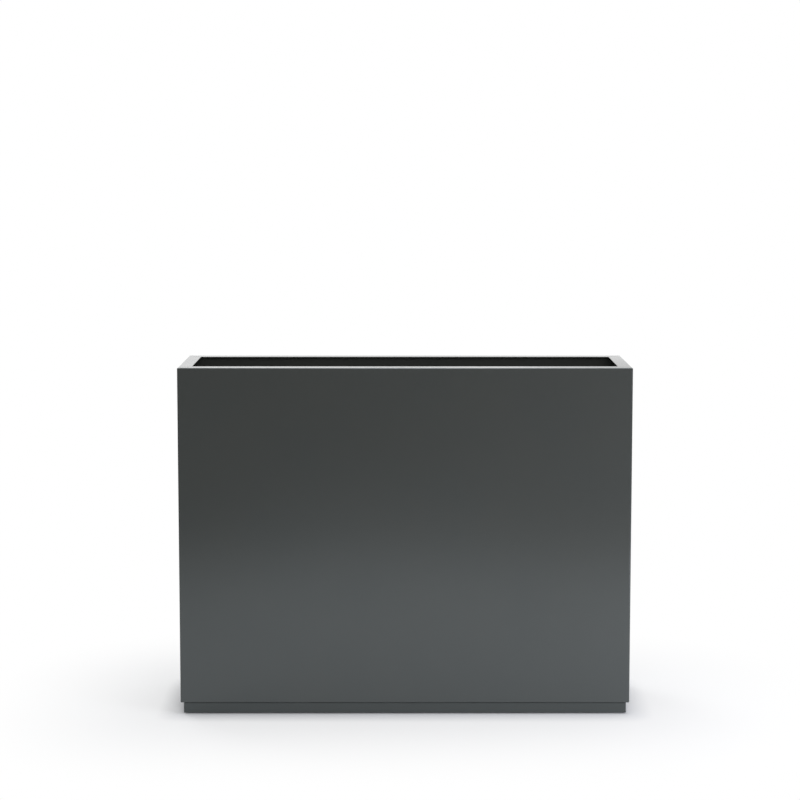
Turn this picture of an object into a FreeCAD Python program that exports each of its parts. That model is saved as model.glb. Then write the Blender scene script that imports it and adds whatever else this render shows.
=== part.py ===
import FreeCAD, Part
import math
import operator
import os

import Sketcher

# A tall rectangular planter of folded, powder-coated sheet metal on a recessed plinth.
# Millimetres, +Z up, front face towards -Y, origin on the floor under the middle.

SIZES = {
    # Shell: four folded walls with an inward rim and an inward bottom flange
    "width": 914,
    "depth": 229,
    "height": 711,
    "sheet": 1.5,
    "bend_radius": 1.25,
    "corner_radius": 2.75,
    "rim_width": 27.5,
    "bottom_flange": 20,
    # Plinth: recessed strips that carry the shell just clear of the floor
    "floor_gap": 3,
    "plinth_height": 22,
    "plinth_inset": 6,
    "plinth_flange": 20,
    # Base pan: the trough's floor, dropped onto the bottom flanges
    "pan_lip": 20,
    "pan_clearance": 0.5,
    "drain_radius": 11,
    "drain_spacing": 500,
    # Drain plugs
    "plug_clearance": 0.4,
    "plug_taper": 0.8,
    "plug_length": 10,
    "plug_overlap": 5,
    "plug_flange_height": 3,
    "plug_loop_radius": 9,
    "plug_loop_bar": 4,
    "plug_loop_width": 5,
    "plug_loop_sink": 1.5,
    # Shelf: two inverted trays that lift out past the rim
    "shelf_depth": 280,
    "shelf_sheet": 1.5,
    "shelf_lip": 20,
    "shelf_clearance": 3,
    "shelf_gap": 2,
    "shelf_hole_radius": 5,
    "shelf_hole_pitch": 40,
    "shelf_row_pitch": 45,
    "shelf_hole_end_margin": 68,
    "shelf_hole_side_margin": 30,
    "finger_hole_radius": 14,
    "finger_hole_inset": 36,
    # Shelf ledges: angles welded along the long walls
    "ledge_sheet": 2,
    "ledge_leg": 25,
    "ledge_edge_margin": 4,
    "ledge_end_clearance": 0.5,
    # Tie bars across the trough under the ledges, with their screws and nuts
    "tie_spacing": 430,
    "tie_width": 30,
    "tie_thickness": 3,
    "tie_end_clearance": 1.75,
    "tie_corner_radius": 4,
    "screw_radius": 3,
    "screw_hole_clearance": 0.3,
    "screw_lip_clearance": 3.5,
    "screw_head_rim": 2,
    "screw_head_height": 4,
    "screw_point": 3,
    "tie_nut_height": 5,
    # Stiffeners: hat sections up the lower half of the long walls
    "hat_spacing": 460,
    "hat_sheet": 1.2,
    "hat_width": 40,
    "hat_depth": 18,
    "hat_flange": 12,
    "hat_end_clearance": 3,
    # Levelling feet, with their plates and nuts in the plinth's corners
    "pad_radius": 16,
    "pad_height": 6,
    "pad_sole": 2,
    "pad_chamfer": 1.5,
    "socket_clearance": 0.1,
    "stud_radius": 4,
    "thread_clearance": 0.15,
    "stud_top_clearance": 1,
    "stud_chamfer": 1,
    "collar_rim": 2.5,
    "collar_height": 2.5,
    "collar_clearance": 0.5,
    "plate_margin": 9,
    "plate_thickness": 3,
    "plate_chamfer": 14,
    "plate_hole_clearance": 0.5,
    "foot_nut_rim": 2.5,
    "foot_nut_height": 6.5,
    # One overrun serves every cut that runs past a face
    "overrun": 5,
}

# A ground corner may take up to this many sheet thicknesses before it opens the mitre
CORNER_LIMIT_SHARE = 3


def arithmetic(symbol, action):
    def method(first, second):
        second = second if isinstance(second, Size) else Size(second, repr(second))
        return Size(action(first.number, second.number), f"({first.text} {symbol} {second.text})")
    return method


class Size:
    """A length together with the expression, over the spreadsheet's cells, that gives it."""

    def __init__(self, number, text):
        self.number = float(number)
        self.text = text

    __add__ = arithmetic("+", operator.add)
    __sub__ = arithmetic("-", operator.sub)
    __mul__ = arithmetic("*", operator.mul)
    __truediv__ = arithmetic("/", operator.truediv)

    def __neg__(self):
        return ZERO - self


ZERO = Size(0, "0")


def least(first, second):
    return Size(min(first.number, second.number), f"min({first.text}; {second.text})")


def make_sheet(document):
    """Fill the spreadsheet: a name and a number in each row, the number under that name."""
    table = document.addObject("Spreadsheet::Sheet", "dims")
    for row, (name, number) in enumerate(SIZES.items(), start=1):
        table.set(f"A{row}", name)
        table.set(f"B{row}", str(number))
        table.setAlias(f"B{row}", name)
    document.recompute()
    return table


doc = FreeCAD.newDocument("planter")
dims = make_sheet(doc)
bodies = []


def size(name):
    return Size(dims.get(name), f"dims.{name}")


# Bodies, sketches and features


def new_body(label, turn=0, at=(ZERO, ZERO)):
    """A sub-part in its own frame, turned about +Z and set down at a place on the floor."""
    body = doc.addObject("PartDesign::Body", label)
    body.Label = label
    body.AllowCompound = True
    body.Placement = FreeCAD.Placement(
        FreeCAD.Vector(at[0].number, at[1].number, 0),
        FreeCAD.Rotation(FreeCAD.Vector(0, 0, 1), turn))
    body.setExpression("Placement.Base.x", at[0].text)
    body.setExpression("Placement.Base.y", at[1].text)
    bodies.append(body)
    return body


def origin_plane(body, role):
    return next(feature for feature in body.Origin.OriginFeatures if feature.Role == role)


def new_sketch(body, name, role="XY_Plane", height=ZERO):
    """A sketch on one of the body's origin planes, lifted off it by a height."""
    sketch = body.newObject("Sketcher::SketchObject", name)
    sketch.AttachmentSupport = [(origin_plane(body, role), "")]
    sketch.MapMode = "FlatFace"
    sketch.setExpression("AttachmentOffset.Base.z", height.text)
    return sketch


def pin(sketch, curve, end, place):
    """Hold one point of a sketch's curve at a place, both coordinates bound to the sheet."""
    for kind, coordinate in zip(("DistanceX", "DistanceY"), place):
        index = sketch.addConstraint(Sketcher.Constraint(kind, -1, 1, curve, end, coordinate.number))
        sketch.setExpression(f"Constraints[{index}]", coordinate.text)


def vector(place):
    return FreeCAD.Vector(place[0].number, place[1].number, 0)


def add_outline(sketch, corners):
    """A closed outline of straight lines through the corners."""
    points = [vector(corner) for corner in corners]
    first = sketch.GeometryCount
    count = len(points)
    for index, point in enumerate(points):
        sketch.addGeometry(Part.LineSegment(point, points[(index + 1) % count]), False)
    for index, corner in enumerate(corners):
        following = first + (index + 1) % count
        sketch.addConstraint(Sketcher.Constraint("Coincident", first + index, 2, following, 1))
        pin(sketch, first + index, 1, corner)


def add_rectangle(sketch, low, high):
    add_outline(sketch, [low, (high[0], low[1]), high, (low[0], high[1])])


def add_circle(sketch, centre, radius):
    circle = Part.Circle(vector(centre), FreeCAD.Vector(0, 0, 1), radius.number)
    curve = sketch.addGeometry(circle, False)
    pin(sketch, curve, 3, centre)
    index = sketch.addConstraint(Sketcher.Constraint("Radius", curve, radius.number))
    sketch.setExpression(f"Constraints[{index}]", radius.text)


def add_hexagon(sketch, centre, flats):
    corner_radius = flats / math.sqrt(3)
    corners = []
    for step in range(6):
        angle = math.radians(60 * step)
        corners.append((centre[0] + corner_radius * math.cos(angle),
                        centre[1] + corner_radius * math.sin(angle)))
    add_outline(sketch, corners)


def pad(body, sketch, length, sides="One side", downwards=False):
    feature = body.newObject("PartDesign::Pad", sketch.Name + "_pad")
    feature.Profile = sketch
    feature.SideType = sides
    feature.Reversed = downwards
    feature.setExpression("Length", length.text)
    doc.recompute()
    return feature


def cut(body, sketch, length=None, upwards=False):
    """Cut a sketch into the body, to a depth or right through, and see that material went."""
    before = body.Shape.Volume
    feature = body.newObject("PartDesign::Pocket", sketch.Name + "_cut")
    feature.Profile = sketch
    feature.Reversed = upwards
    if length is None:
        feature.Type = "ThroughAll"
    else:
        feature.setExpression("Length", length.text)
    doc.recompute()
    if not body.Shape.Volume < before:
        raise RuntimeError(f"{feature.Name} removes nothing from {body.Label}")
    return feature


def revolve(body, sketch):
    """Turn a half profile, drawn on the XZ plane, once round the vertical axis."""
    feature = body.newObject("PartDesign::Revolution", sketch.Name + "_turn")
    feature.Profile = sketch
    feature.ReferenceAxis = (sketch, ["V_Axis"])
    doc.recompute()
    return feature


def mirror(body, original, role):
    feature = body.newObject("PartDesign::Mirrored", original.Name + "_mirror")
    feature.Originals = [original]
    feature.MirrorPlane = (origin_plane(body, role), [""])
    body.Tip = feature
    doc.recompute()
    return feature


def repeat_along(body, original, sketch, axis, length, count):
    feature = body.newObject("PartDesign::LinearPattern", original.Name + "_row")
    feature.Originals = [original]
    feature.Direction = (sketch, [axis])
    feature.setExpression("Length", length.text)
    feature.Occurrences = count
    body.Tip = feature
    doc.recompute()
    return feature


def nearest_edge(shape, place):
    """The name of the edge whose middle lies nearest to a place in the body's own frame."""
    target = FreeCAD.Vector(*[coordinate.number for coordinate in place])
    distances = [(edge.CenterOfMass - target).Length for edge in shape.Edges]
    return f"Edge{distances.index(min(distances)) + 1}"


def round_edges(body, name, radius, places):
    base = body.Tip
    feature = body.newObject("PartDesign::Fillet", name)
    feature.Base = (base, [nearest_edge(base.Shape, place) for place in places])
    feature.setExpression("Radius", radius.text)
    doc.recompute()
    return feature


# Levels and faces that several pieces share

half_width = size("width") / 2
half_depth = size("depth") / 2
sheet = size("sheet")
overrun = size("overrun")
shell_bottom = size("floor_gap") + size("plinth_height")
shell_top = size("height")
rim_underside = shell_top - sheet
pan_bottom = shell_bottom + sheet
pan_floor = pan_bottom + sheet
pan_top = pan_bottom + size("pan_lip")
shelf_top = shell_top - size("shelf_depth")
ledge_top = shelf_top - size("shelf_lip")
ledge_bottom = ledge_top - size("ledge_leg")
wall_inside = half_depth - sheet
plinth_half_width = half_width - size("plinth_inset")
plinth_half_depth = half_depth - size("plinth_inset")
shelf_half_depth = half_depth - size("rim_width") - size("shelf_clearance")

# The four sides, each turned from the front's own frame, with its half length and face distance
SIDES = (
    ("front", 0, half_width, half_depth),
    ("right", 90, half_depth, half_width),
    ("back", 180, half_width, half_depth),
    ("left", 270, half_depth, half_width),
)


def mitre_ends(body, half_length, face, flange):
    """Cut both ends back at 45 degrees and grind the outer upright corner round."""
    radius = least(size("corner_radius"), sheet * CORNER_LIMIT_SHARE)
    diagonal = radius * math.sqrt(0.5)
    reach = flange + overrun
    start = (half_length - radius, -face)
    centre = (half_length - radius, radius - face)
    finish = (half_length - radius + diagonal, radius - face - diagonal)
    corners = [
        finish,
        (half_length - reach, reach - face),
        (half_length + overrun, reach - face),
        (half_length + overrun, -face - overrun),
        (half_length - radius, -face - overrun),
        start,
    ]
    sketch = new_sketch(body, body.Label + "_mitre")
    points = [vector(corner) for corner in corners]
    for first, second in zip(points, points[1:]):
        sketch.addGeometry(Part.LineSegment(first, second), False)
    circle = Part.Circle(vector(centre), FreeCAD.Vector(0, 0, 1), radius.number)
    quarter = math.radians(90)
    arc = sketch.addGeometry(Part.ArcOfCircle(circle, -quarter, -quarter / 2), False)
    for index in range(1, arc):
        sketch.addConstraint(Sketcher.Constraint("Coincident", index - 1, 2, index, 1))
    sketch.addConstraint(Sketcher.Constraint("Coincident", arc - 1, 2, arc, 1))
    sketch.addConstraint(Sketcher.Constraint("Coincident", arc, 2, 0, 1))
    pin(sketch, arc, 3, centre)
    pin(sketch, arc, 1, start)
    pin(sketch, arc, 2, finish[:1])
    for index in range(1, arc):
        pin(sketch, index, 1, corners[index])
    mirror(body, cut(body, sketch, upwards=True), "YZ_Plane")


# Shell


def make_wall(side, turn, half_length, face):
    """One wall folded from a single sheet: face, rim above, flange below, mitred ends."""
    label = f"{side}_panel" if side in ("front", "back") else f"{side}_end_panel"
    body = new_body(label, turn)
    rim_edge = size("rim_width") - face
    flange_edge = size("bottom_flange") - face
    sketch = new_sketch(body, label + "_section", "YZ_Plane")
    add_outline(sketch, [
        (-face, shell_bottom),
        (flange_edge, shell_bottom),
        (flange_edge, pan_bottom),
        (sheet - face, pan_bottom),
        (sheet - face, rim_underside),
        (rim_edge, rim_underside),
        (rim_edge, shell_top),
        (-face, shell_top),
    ])
    pad(body, sketch, half_length * 2, "Symmetric")
    round_edges(body, label + "_outer_bends", size("bend_radius") + sheet, [
        (ZERO, -face, shell_bottom),
        (ZERO, -face, shell_top),
    ])
    round_edges(body, label + "_inner_bends", size("bend_radius"), [
        (ZERO, sheet - face, pan_bottom),
        (ZERO, sheet - face, rim_underside),
    ])
    mitre_ends(body, half_length, face, size("rim_width") + size("bottom_flange"))


def make_plinth_strip(side, turn, half_length, face):
    """One plinth strip: an angle with its flange under the shell's bottom flange."""
    label = f"plinth_{side}"
    body = new_body(label, turn)
    flange_edge = size("plinth_flange") - face
    flange_underside = shell_bottom - sheet
    sketch = new_sketch(body, label + "_section", "YZ_Plane")
    add_outline(sketch, [
        (-face, size("floor_gap")),
        (sheet - face, size("floor_gap")),
        (sheet - face, flange_underside),
        (flange_edge, flange_underside),
        (flange_edge, shell_bottom),
        (-face, shell_bottom),
    ])
    pad(body, sketch, half_length * 2, "Symmetric")
    round_edges(body, label + "_outer_bend", size("bend_radius") + sheet, [(ZERO, -face, shell_bottom)])
    round_edges(body, label + "_inner_bend", size("bend_radius"), [(ZERO, sheet - face, flange_underside)])
    mitre_ends(body, half_length, face, size("plinth_flange"))


def tray_edges(low, high, level):
    """The middles of a tray's four upright edges and of the four edges round its plate."""
    middle = [(first + second) / 2 for first, second in zip(low, high)]
    uprights = [(x, y, middle[2]) for x in (low[0], high[0]) for y in (low[1], high[1])]
    rounds = [(middle[0], y, level) for y in (low[1], high[1])]
    rounds += [(x, middle[1], level) for x in (low[0], high[0])]
    return uprights + rounds


def make_base_pan():
    """The trough's floor: a shallow tray with two drain holes, resting on the bottom flanges."""
    body = new_body("base_pan")
    half_x = half_width - sheet - size("pan_clearance")
    half_y = wall_inside - size("pan_clearance")
    inner_x = half_x - sheet
    inner_y = half_y - sheet
    block = new_sketch(body, "base_pan_block", height=pan_bottom)
    add_rectangle(block, (-half_x, -half_y), (half_x, half_y))
    pad(body, block, size("pan_lip"))
    inside = new_sketch(body, "base_pan_inside", height=pan_top)
    add_rectangle(inside, (-inner_x, -inner_y), (inner_x, inner_y))
    cut(body, inside, size("pan_lip") - sheet)
    outside_edges = tray_edges((-half_x, -half_y, pan_bottom), (half_x, half_y, pan_top), pan_bottom)
    round_edges(body, "base_pan_outer_bends", size("bend_radius") + sheet, outside_edges)
    inside_edges = tray_edges((-inner_x, -inner_y, pan_floor), (inner_x, inner_y, pan_top), pan_floor)
    round_edges(body, "base_pan_inner_bends", size("bend_radius"), inside_edges)
    drains = new_sketch(body, "base_pan_drains", height=pan_top)
    for way in (-1, 1):
        add_circle(drains, (size("drain_spacing") / 2 * way, ZERO), size("drain_radius"))
    cut(body, drains)


def make_drain_plug(side, way):
    """A rubber plug: tapered body in the drain hole, flange on the pan, loop to pull it by."""
    body = new_body(f"{side}_drain_plug", at=(size("drain_spacing") / 2 * way, ZERO))
    neck = size("drain_radius") - size("plug_clearance")
    flange_radius = size("drain_radius") + size("plug_overlap")
    flange_top = pan_floor + size("plug_flange_height")
    tip = pan_floor - size("plug_length")
    profile = new_sketch(body, f"{side}_plug_profile", "XZ_Plane")
    add_outline(profile, [
        (ZERO, tip),
        (neck - size("plug_taper"), tip),
        (neck, pan_floor),
        (flange_radius, pan_floor),
        (flange_radius, flange_top),
        (ZERO, flange_top),
    ])
    revolve(body, profile)
    loop = new_sketch(body, f"{side}_plug_loop", "XZ_Plane")
    loop_centre = (ZERO, flange_top + size("plug_loop_radius") - size("plug_loop_sink"))
    add_circle(loop, loop_centre, size("plug_loop_radius"))
    add_circle(loop, loop_centre, size("plug_loop_radius") - size("plug_loop_bar"))
    pad(body, loop, size("plug_loop_width"), "Symmetric")


# Shelf, ledges and tie bars

ledge_underside = ledge_top - size("ledge_sheet")
tie_underside = ledge_underside - size("tie_thickness")
screw_head_radius = size("screw_radius") + size("screw_head_rim")
screw_hole = size("screw_radius") + size("screw_hole_clearance")
screw_line = shelf_half_depth - size("shelf_sheet") - size("screw_lip_clearance") - screw_head_radius
screw_places = [(size("tie_spacing") / 2 * across, screw_line * along)
                for across in (-1, 1) for along in (-1, 1)]


def make_ledge(side, turn):
    """An angle along a long wall: its upright leg on the wall, its flat leg carrying the shelf."""
    label = f"{side}_shelf_ledge"
    body = new_body(label, turn)
    thickness = size("ledge_sheet")
    edge = screw_head_radius + size("ledge_edge_margin") - screw_line
    sketch = new_sketch(body, label + "_section", "YZ_Plane")
    add_outline(sketch, [
        (-wall_inside, ledge_bottom),
        (thickness - wall_inside, ledge_bottom),
        (thickness - wall_inside, ledge_underside),
        (edge, ledge_underside),
        (edge, ledge_top),
        (-wall_inside, ledge_top),
    ])
    pad(body, sketch, (half_width - sheet - size("ledge_end_clearance")) * 2, "Symmetric")
    round_edges(body, label + "_outer_bend", size("bend_radius") + thickness, [
        (ZERO, -wall_inside, ledge_top),
    ])
    round_edges(body, label + "_inner_bend", size("bend_radius"), [
        (ZERO, thickness - wall_inside, ledge_underside),
    ])
    holes = new_sketch(body, label + "_holes", height=ledge_top)
    for way in (-1, 1):
        add_circle(holes, (size("tie_spacing") / 2 * way, -screw_line), screw_hole)
    cut(body, holes)


def pattern_count(span, margin, pitch):
    """How many holes, a pitch apart, fit a span and keep the margin from both its ends."""
    return max(1, int((span - margin * 2).number / pitch.number) + 1)


def make_shelf(side, turn):
    """One half of the shelf: a perforated inverted tray with two finger holes to lift it by."""
    label = f"{side}_shelf"
    body = new_body(label, turn)
    near = size("shelf_gap") / 2
    far = half_width - size("rim_width") - size("shelf_clearance")
    half_y = shelf_half_depth
    thickness = size("shelf_sheet")
    underside = shelf_top - thickness
    block = new_sketch(body, label + "_block", height=ledge_top)
    add_rectangle(block, (near, -half_y), (far, half_y))
    pad(body, block, size("shelf_lip"))
    inner_low = (near + thickness, thickness - half_y)
    inner_high = (far - thickness, half_y - thickness)
    inside = new_sketch(body, label + "_inside", height=ledge_top)
    add_rectangle(inside, inner_low, inner_high)
    cut(body, inside, size("shelf_lip") - thickness, upwards=True)
    outside_edges = tray_edges((near, -half_y, ledge_top), (far, half_y, shelf_top), shelf_top)
    round_edges(body, label + "_outer_bends", size("bend_radius") + thickness, outside_edges)
    inside_edges = tray_edges((*inner_low, ledge_top), (*inner_high, underside), underside)
    round_edges(body, label + "_inner_bends", size("bend_radius"), inside_edges)
    fingers = new_sketch(body, label + "_finger_holes", height=shelf_top)
    add_circle(fingers, (near + size("finger_hole_inset"), ZERO), size("finger_hole_radius"))
    add_circle(fingers, (far - size("finger_hole_inset"), ZERO), size("finger_hole_radius"))
    cut(body, fingers)
    columns = pattern_count(far - near, size("shelf_hole_end_margin"), size("shelf_hole_pitch"))
    rows = pattern_count(half_y * 2, size("shelf_hole_side_margin"), size("shelf_row_pitch"))
    run = size("shelf_hole_pitch") * (columns - 1)
    first = (near + far - run) / 2
    column = new_sketch(body, label + "_hole_column", height=shelf_top)
    for row in range(rows):
        place = size("shelf_row_pitch") * (row - (rows - 1) / 2)
        add_circle(column, (first, place), size("shelf_hole_radius"))
    repeat_along(body, cut(body, column), column, "H_Axis", run, columns)


def make_tie_bar(side, way):
    """A flat bar across the trough that holds the two ledges, and so the long walls, apart."""
    label = f"{side}_tie_bar"
    body = new_body(label, at=(size("tie_spacing") / 2 * way, ZERO))
    half_x = size("tie_width") / 2
    half_y = wall_inside - size("ledge_sheet") - size("bend_radius") - size("tie_end_clearance")
    sketch = new_sketch(body, label + "_plan", height=tie_underside)
    add_rectangle(sketch, (-half_x, -half_y), (half_x, half_y))
    pad(body, sketch, size("tie_thickness"))
    middle = tie_underside + size("tie_thickness") / 2
    round_edges(body, label + "_corners", size("tie_corner_radius"), [
        (half_x * across, half_y * along, middle) for across in (-1, 1) for along in (-1, 1)
    ])
    holes = new_sketch(body, label + "_holes", height=ledge_underside)
    for along in (-1, 1):
        add_circle(holes, (ZERO, screw_line * along), screw_hole)
    cut(body, holes)


def make_tie_bar_screws():
    """Hex-head screws down through the ledges and the tie bars."""
    body = new_body("tie_bar_screws")
    heads = new_sketch(body, "screw_heads", height=ledge_top)
    shanks = new_sketch(body, "screw_shanks", height=ledge_top)
    for place in screw_places:
        add_hexagon(heads, place, screw_head_radius * 2)
        add_circle(shanks, place, size("screw_radius"))
    pad(body, heads, size("screw_head_height"))
    grip = size("ledge_sheet") + size("tie_thickness")
    pad(body, shanks, grip + size("tie_nut_height") + size("screw_point"), downwards=True)


def make_tie_bar_nuts():
    """Hex nuts on the screws, under the tie bars."""
    body = new_body("tie_bar_nuts")
    sketch = new_sketch(body, "tie_nuts", height=tie_underside)
    for place in screw_places:
        add_hexagon(sketch, place, screw_head_radius * 2)
        add_circle(sketch, place, size("screw_radius") + size("thread_clearance"))
    pad(body, sketch, size("tie_nut_height"), downwards=True)


def make_stiffener(label, turn, line):
    """A hat section up a long wall, its two feet welded to the wall below the ledge."""
    body = new_body(label, turn)
    thickness = size("hat_sheet")
    half_hat = size("hat_width") / 2
    foot_end = half_hat + size("hat_flange")
    foot_top = thickness - wall_inside
    crown_top = size("hat_depth") - wall_inside
    crown_underside = crown_top - thickness
    bottom = pan_top + size("hat_end_clearance")
    top = ledge_bottom - size("hat_end_clearance")
    sketch = new_sketch(body, label + "_section", height=bottom)
    add_outline(sketch, [
        (line - foot_end, -wall_inside),
        (line - half_hat + thickness, -wall_inside),
        (line - half_hat + thickness, crown_underside),
        (line + half_hat - thickness, crown_underside),
        (line + half_hat - thickness, -wall_inside),
        (line + foot_end, -wall_inside),
        (line + foot_end, foot_top),
        (line + half_hat, foot_top),
        (line + half_hat, crown_top),
        (line - half_hat, crown_top),
        (line - half_hat, foot_top),
        (line - foot_end, foot_top),
    ])
    pad(body, sketch, top - bottom)


# Levelling feet

plate_half = size("pad_radius") + size("plate_margin")
foot_x = plinth_half_width - sheet - plate_half
foot_y = plinth_half_depth - sheet - plate_half
collar_bottom = size("pad_height")
collar_top = collar_bottom + size("collar_height")
plate_bottom = collar_top + size("collar_clearance")
plate_top = plate_bottom + size("plate_thickness")
stud_top = shell_bottom - sheet - size("stud_top_clearance")
FEET = {
    "front_left": (-foot_x, -foot_y),
    "front_right": (foot_x, -foot_y),
    "back_left": (-foot_x, foot_y),
    "back_right": (foot_x, foot_y),
}


def make_foot_plate(place_name, place):
    """A plate welded into a corner of the plinth, with its inner corner cut off."""
    body = new_body(f"foot_plate_{place_name}", at=place)
    across = math.copysign(1, place[0].number)
    along = math.copysign(1, place[1].number)
    outer = plate_half
    cut_back = plate_half - size("plate_chamfer")
    outline = new_sketch(body, f"plate_outline_{place_name}", height=plate_bottom)
    add_outline(outline, [
        (outer * across, outer * along),
        (outer * across, outer * -along),
        (cut_back * -across, outer * -along),
        (outer * -across, cut_back * -along),
        (outer * -across, outer * along),
    ])
    pad(body, outline, size("plate_thickness"))
    hole = new_sketch(body, f"plate_hole_{place_name}", height=plate_top)
    add_circle(hole, (ZERO, ZERO), size("stud_radius") + size("plate_hole_clearance"))
    cut(body, hole)


def make_foot_nuts():
    """Hex nuts welded on the foot plates, which the studs screw through."""
    body = new_body("foot_nuts")
    sketch = new_sketch(body, "foot_nut_outlines", height=plate_top)
    for place in FEET.values():
        add_hexagon(sketch, place, (size("stud_radius") + size("foot_nut_rim")) * 2)
        add_circle(sketch, place, size("stud_radius"))
    pad(body, sketch, size("foot_nut_height"))


def make_foot(place_name, place):
    """One levelling foot: a stud with a hex collar to turn it by, and the pad it stands on."""
    radius = size("stud_radius") - size("thread_clearance")
    chamfer = size("stud_chamfer")
    socket_floor = size("pad_sole")
    stud = new_body(f"foot_stud_{place_name}", at=place)
    shank = new_sketch(stud, f"stud_shank_{place_name}", "XZ_Plane")
    add_outline(shank, [
        (ZERO, socket_floor),
        (radius, socket_floor),
        (radius, stud_top - chamfer),
        (radius - chamfer, stud_top),
        (ZERO, stud_top),
    ])
    revolve(stud, shank)
    collar = new_sketch(stud, f"stud_collar_{place_name}", height=collar_bottom)
    add_hexagon(collar, (ZERO, ZERO), (size("stud_radius") + size("collar_rim")) * 2)
    pad(stud, collar, size("collar_height"))

    socket = radius + size("socket_clearance")
    rim = size("pad_radius")
    bevel = size("pad_chamfer")
    top = size("pad_height")
    sole = new_body(f"foot_pad_{place_name}", at=place)
    profile = new_sketch(sole, f"pad_profile_{place_name}", "XZ_Plane")
    add_outline(profile, [
        (ZERO, ZERO),
        (rim, ZERO),
        (rim, top - bevel),
        (rim - bevel, top),
        (socket, top),
        (socket, socket_floor),
        (ZERO, socket_floor),
    ])
    revolve(sole, profile)


def make_planter():
    for side, turn, half_length, face in SIDES:
        make_wall(side, turn, half_length, face)
    for side, turn, half_length, face in SIDES:
        inset = size("plinth_inset")
        make_plinth_strip(side, turn, half_length - inset, face - inset)
    make_base_pan()
    for wall, turn, right_way in (("front", 0, 1), ("back", 180, -1)):
        make_ledge(wall, turn)
        for side, way in (("left", -right_way), ("right", right_way)):
            make_stiffener(f"{wall}_{side}_stiffener", turn, size("hat_spacing") / 2 * way)
    for side, turn, way in (("left", 180, -1), ("right", 0, 1)):
        make_shelf(side, turn)
        make_tie_bar(side, way)
        make_drain_plug(side, way)
    make_tie_bar_screws()
    make_tie_bar_nuts()
    make_foot_nuts()
    for place_name, place in FEET.items():
        make_foot_plate(place_name, place)
        make_foot(place_name, place)


def check_document():
    for item in doc.Objects:
        if "Invalid" in item.State or "Error" in item.State:
            raise RuntimeError(f"{item.Name} did not compute: {item.State}")
    for body in bodies:
        if body.Shape.isNull() or not body.Shape.isValid():
            raise RuntimeError(f"{body.Label} has no valid shape")


def write_parts():
    os.makedirs("parts", exist_ok=True)
    for body in bodies:
        body.Shape.exportStep(f"parts/{body.Label}.step")
        print(body.Label, len(body.Shape.Solids), round(body.Shape.Volume))


make_planter()
doc.recompute()
check_document()
write_parts()
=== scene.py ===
import math
from functools import partial

import bmesh
import bpy
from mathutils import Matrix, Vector


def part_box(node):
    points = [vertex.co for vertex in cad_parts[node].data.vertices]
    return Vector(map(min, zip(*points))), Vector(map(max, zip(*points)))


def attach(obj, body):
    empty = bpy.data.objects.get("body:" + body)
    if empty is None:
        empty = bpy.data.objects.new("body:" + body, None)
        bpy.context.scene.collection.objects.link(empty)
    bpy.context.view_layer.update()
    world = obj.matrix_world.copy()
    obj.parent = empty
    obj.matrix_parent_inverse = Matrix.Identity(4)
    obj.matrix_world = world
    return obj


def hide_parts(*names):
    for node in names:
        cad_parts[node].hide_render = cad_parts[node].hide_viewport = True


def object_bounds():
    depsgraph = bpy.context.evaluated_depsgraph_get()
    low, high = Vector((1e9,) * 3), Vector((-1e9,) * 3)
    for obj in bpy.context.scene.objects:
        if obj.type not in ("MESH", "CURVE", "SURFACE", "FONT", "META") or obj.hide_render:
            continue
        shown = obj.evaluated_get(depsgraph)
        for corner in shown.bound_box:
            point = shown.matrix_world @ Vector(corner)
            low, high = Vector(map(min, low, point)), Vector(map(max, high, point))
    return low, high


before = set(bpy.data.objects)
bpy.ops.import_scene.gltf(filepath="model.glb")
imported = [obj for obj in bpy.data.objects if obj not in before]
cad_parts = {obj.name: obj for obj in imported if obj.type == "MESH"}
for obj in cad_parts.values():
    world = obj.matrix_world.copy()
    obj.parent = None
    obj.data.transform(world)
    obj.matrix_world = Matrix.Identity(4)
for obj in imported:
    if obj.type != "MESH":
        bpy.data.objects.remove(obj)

bl_info = {
    "name": "Tall metal planter",
    "version": (1, 0, 0),
    "blender": (4, 5, 0),
    "location": "3D View > Sidebar > Planter",
    "description": "Finishes, welds, fasteners and feet of a tall powder-coated sheet metal planter",
    "category": "Object",
}

CAD_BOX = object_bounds()
MM = 0.001
FULL_TURN = 2 * math.pi
SIXTH_TURN = FULL_TURN / 6
UP = (0, 0, 1)
WHITE = (1, 1, 1, 1)
BOTH_WAYS = (-1, 1)
QUARTERS = [(across, along) for across in BOTH_WAYS for along in BOTH_WAYS]
SIDES = ("left", "right")
LONG_WALLS = ("front", "back")
FEET = ("front_left", "front_right", "back_left", "back_right")
MATH = "ShaderNodeMath"
MAP_RANGE = "ShaderNodeMapRange"
RINGS_PER_TURN = 8
BORE_CLEARANCE = 0.15 * MM

# Which of the part's nodes wear which finish
NODE_FINISHES = {
    "charcoal_coat": [
        "base_pan",
        *[f"{wall}_panel" for wall in ("front", "back", "left_end", "right_end")],
        *[f"{corner}_stiffener" for corner in FEET],
        *[f"{wall}_shelf_ledge" for wall in LONG_WALLS],
    ],
    # The plinth wears a copy of the coat that is darkened as painted shade
    "shaded_plinth_coat": [f"plinth_{side}" for side in LONG_WALLS + SIDES],
    "galvanised_steel": [
        *[f"{side}_{piece}" for side in SIDES for piece in ("shelf", "tie_bar")],
        *[f"foot_plate_{corner}" for corner in FEET],
    ],
    "zinc_plate": [
        "tie_bar_screws", "tie_bar_nuts", "foot_nuts",
        *[f"foot_stud_{corner}" for corner in FEET],
    ],
    "black_rubber": [f"{side}_drain_plug" for side in SIDES],
    "black_nylon": [f"foot_pad_{corner}" for corner in FEET],
}

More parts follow.
